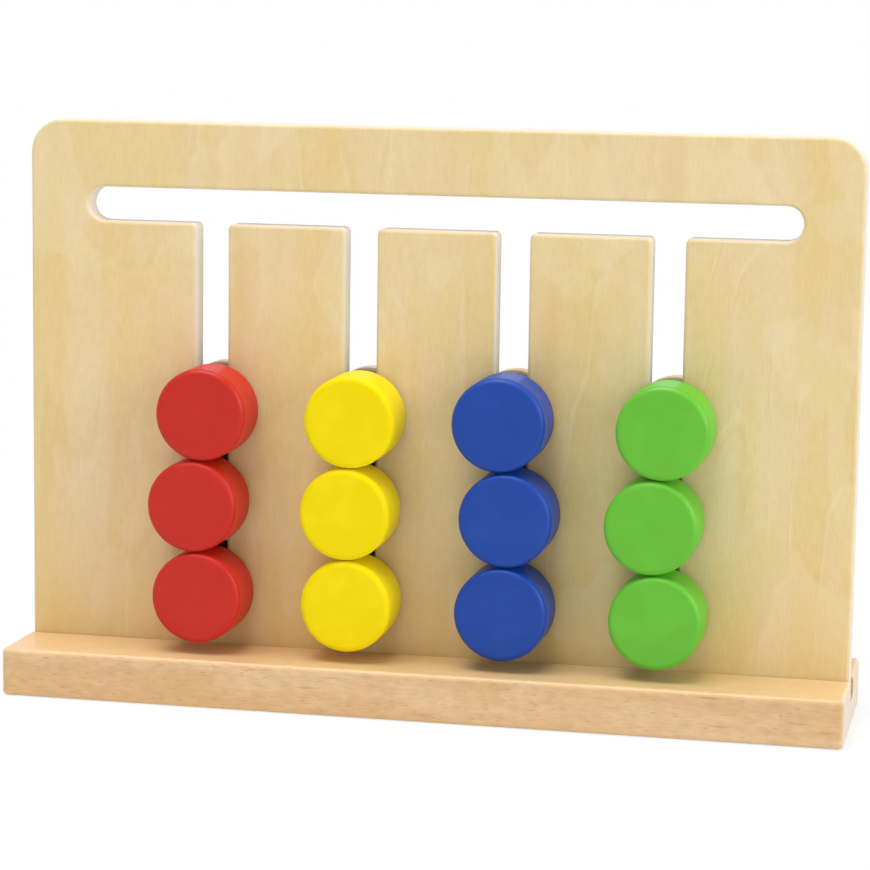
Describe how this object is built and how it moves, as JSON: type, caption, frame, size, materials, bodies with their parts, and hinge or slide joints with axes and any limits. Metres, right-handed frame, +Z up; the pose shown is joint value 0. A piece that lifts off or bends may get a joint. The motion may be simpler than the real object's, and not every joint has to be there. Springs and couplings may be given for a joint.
{
  "type": "pattern matching game",
  "caption": "Wooden sorting game: painted disc beads slide in the slots and top channel of an upright panel that stands in a base bar.",
  "frame": {"origin": "middle of the base's underside", "axes": "+X along the base, +Z up, and the painted discs face -Y"},
  "size_m": [0.303, 0.07, 0.207],
  "materials": {
    "beech": "clear satin lacquer on planed beech with short dark flecks",
    "plywood": "sanded pale plywood with upright grain and layered edges",
    "plain_wood": "sanded bare wood",
    "dowel_wood": "turned bare wood dowel",
    "red_paint": "satin red paint on wood",
    "yellow_paint": "satin yellow paint on wood",
    "blue_paint": "satin blue paint on wood",
    "green_paint": "satin green paint on wood"
  },
  "bodies": {
    "board": {"base": "beech", "panel": "plywood"},
    "red_spindle_bottom": {"red_dowel_bottom": "dowel_wood"},
    "red_bead_bottom": {"red_disc_bottom": "red_paint", "red_back_disc_bottom": "plain_wood"},
    "red_spindle_middle": {"red_dowel_middle": "dowel_wood"},
    "red_bead_middle": {"red_disc_middle": "red_paint", "red_back_disc_middle": "plain_wood"},
    "red_spindle_top": {"red_dowel_top": "dowel_wood"},
    "red_bead_top": {"red_disc_top": "red_paint", "red_back_disc_top": "plain_wood"},
    "yellow_spindle_bottom": {"yellow_dowel_bottom": "dowel_wood"},
    "yellow_bead_bottom": {"yellow_disc_bottom": "yellow_paint", "yellow_back_disc_bottom": "plain_wood"},
    "yellow_spindle_middle": {"yellow_dowel_middle": "dowel_wood"},
    "yellow_bead_middle": {"yellow_disc_middle": "yellow_paint", "yellow_back_disc_middle": "plain_wood"},
    "yellow_spindle_top": {"yellow_dowel_top": "dowel_wood"},
    "yellow_bead_top": {"yellow_disc_top": "yellow_paint", "yellow_back_disc_top": "plain_wood"},
    "blue_spindle_bottom": {"blue_dowel_bottom": "dowel_wood"},
    "blue_bead_bottom": {"blue_disc_bottom": "blue_paint", "blue_back_disc_bottom": "plain_wood"},
    "blue_spindle_middle": {"blue_dowel_middle": "dowel_wood"},
    "blue_bead_middle": {"blue_disc_middle": "blue_paint", "blue_back_disc_middle": "plain_wood"},
    "blue_spindle_top": {"blue_dowel_top": "dowel_wood"},
    "blue_bead_top": {"blue_disc_top": "blue_paint", "blue_back_disc_top": "plain_wood"},
    "green_spindle_bottom": {"green_dowel_bottom": "dowel_wood"},
    "green_bead_bottom": {"green_disc_bottom": "green_paint", "green_back_disc_bottom": "plain_wood"},
    "green_spindle_middle": {"green_dowel_middle": "dowel_wood"},
    "green_bead_middle": {"green_disc_middle": "green_paint", "green_back_disc_middle": "plain_wood"},
    "green_spindle_top": {"green_dowel_top": "dowel_wood"},
    "green_bead_top": {"green_disc_top": "green_paint", "green_back_disc_top": "plain_wood"}
  },
  "joints": [
    {"name": "red_slide_bottom", "type": "slide", "parent": "board", "child": "red_spindle_bottom", "axis": [0, 0, -1], "range_m": [-0.0363, 0]},
    {"name": "red_spin_bottom", "type": "hinge", "parent": "red_spindle_bottom", "child": "red_bead_bottom", "pos_m": [-0.0813, 0, 0.038], "axis": [0, 1, 0], "continuous": true},
    {"name": "red_slide_middle", "type": "slide", "parent": "red_spindle_bottom", "child": "red_spindle_middle", "axis": [0, 0, -1], "range_m": [-0.0363, 0]},
    {"name": "red_spin_middle", "type": "hinge", "parent": "red_spindle_middle", "child": "red_bead_middle", "pos_m": [-0.083, 0, 0.07115], "axis": [0, 1, 0], "continuous": true},
    {"name": "red_slide_top", "type": "slide", "parent": "red_spindle_middle", "child": "red_spindle_top", "axis": [0, 0, 1], "range_m": [0, 0.0726]},
    {"name": "red_spin_top", "type": "hinge", "parent": "red_spindle_top", "child": "red_bead_top", "pos_m": [-0.0799, 0, 0.1043], "axis": [0, 1, 0], "continuous": true},
    {"name": "yellow_slide_bottom", "type": "slide", "parent": "board", "child": "yellow_spindle_bottom", "axis": [0, 0, -1], "range_m": [-0.0364, 0]},
    {"name": "yellow_spin_bottom", "type": "hinge", "parent": "yellow_spindle_bottom", "child": "yellow_bead_bottom", "pos_m": [-0.0262, 0, 0.038], "axis": [0, 1, 0], "continuous": true},
    {"name": "yellow_slide_middle", "type": "slide", "parent": "yellow_spindle_bottom", "child": "yellow_spindle_middle", "axis": [0, 0, -1], "range_m": [-0.0364, 0]},
    {"name": "yellow_spin_middle", "type": "hinge", "parent": "yellow_spindle_middle", "child": "yellow_bead_middle", "pos_m": [-0.0269, 0, 0.07105], "axis": [0, 1, 0], "continuous": true},
    {"name": "yellow_slide_top", "type": "slide", "parent": "yellow_spindle_middle", "child": "yellow_spindle_top", "axis": [0, 0, 1], "range_m": [0, 0.0728]},
    {"name": "yellow_spin_top", "type": "hinge", "parent": "yellow_spindle_top", "child": "yellow_bead_top", "pos_m": [-0.0255, 0, 0.1041], "axis": [0, 1, 0], "continuous": true},
    {"name": "blue_slide_bottom", "type": "slide", "parent": "board", "child": "blue_spindle_bottom", "axis": [0, 0, -1], "range_m": [-0.0358, 0]},
    {"name": "blue_spin_bottom", "type": "hinge", "parent": "blue_spindle_bottom", "child": "blue_bead_bottom", "pos_m": [0.0298, 0, 0.0382], "axis": [0, 1, 0], "continuous": true},
    {"name": "blue_slide_middle", "type": "slide", "parent": "blue_spindle_bottom", "child": "blue_spindle_middle", "axis": [0, 0, -1], "range_m": [-0.0358, 0]},
    {"name": "blue_spin_middle", "type": "hinge", "parent": "blue_spindle_middle", "child": "blue_bead_middle", "pos_m": [0.0309, 0, 0.07175], "axis": [0, 1, 0], "continuous": true},
    {"name": "blue_slide_top", "type": "slide", "parent": "blue_spindle_middle", "child": "blue_spindle_top", "axis": [0, 0, 1], "range_m": [0, 0.0716]},
    {"name": "blue_spin_top", "type": "hinge", "parent": "blue_spindle_top", "child": "blue_bead_top", "pos_m": [0.0279, 0, 0.1053], "axis": [0, 1, 0], "continuous": true},
    {"name": "green_slide_bottom", "type": "slide", "parent": "board", "child": "green_spindle_bottom", "axis": [0, 0, -1], "range_m": [-0.0359, 0]},
    {"name": "green_spin_bottom", "type": "hinge", "parent": "green_spindle_bottom", "child": "green_bead_bottom", "pos_m": [0.0845, 0, 0.0384], "axis": [0, 1, 0], "continuous": true},
    {"name": "green_slide_middle", "type": "slide", "parent": "green_spindle_bottom", "child": "green_spindle_middle", "axis": [0, 0, -1], "range_m": [-0.0359, 0]},
    {"name": "green_spin_middle", "type": "hinge", "parent": "green_spindle_middle", "child": "green_bead_middle", "pos_m": [0.0823, 0, 0.07175], "axis": [0, 1, 0], "continuous": true},
    {"name": "green_slide_top", "type": "slide", "parent": "green_spindle_middle", "child": "green_spindle_top", "axis": [0, 0, 1], "range_m": [0, 0.0718]},
    {"name": "green_spin_top", "type": "hinge", "parent": "green_spindle_top", "child": "green_bead_top", "pos_m": [0.0856, 0, 0.1051], "axis": [0, 1, 0], "continuous": true}
  ]
}
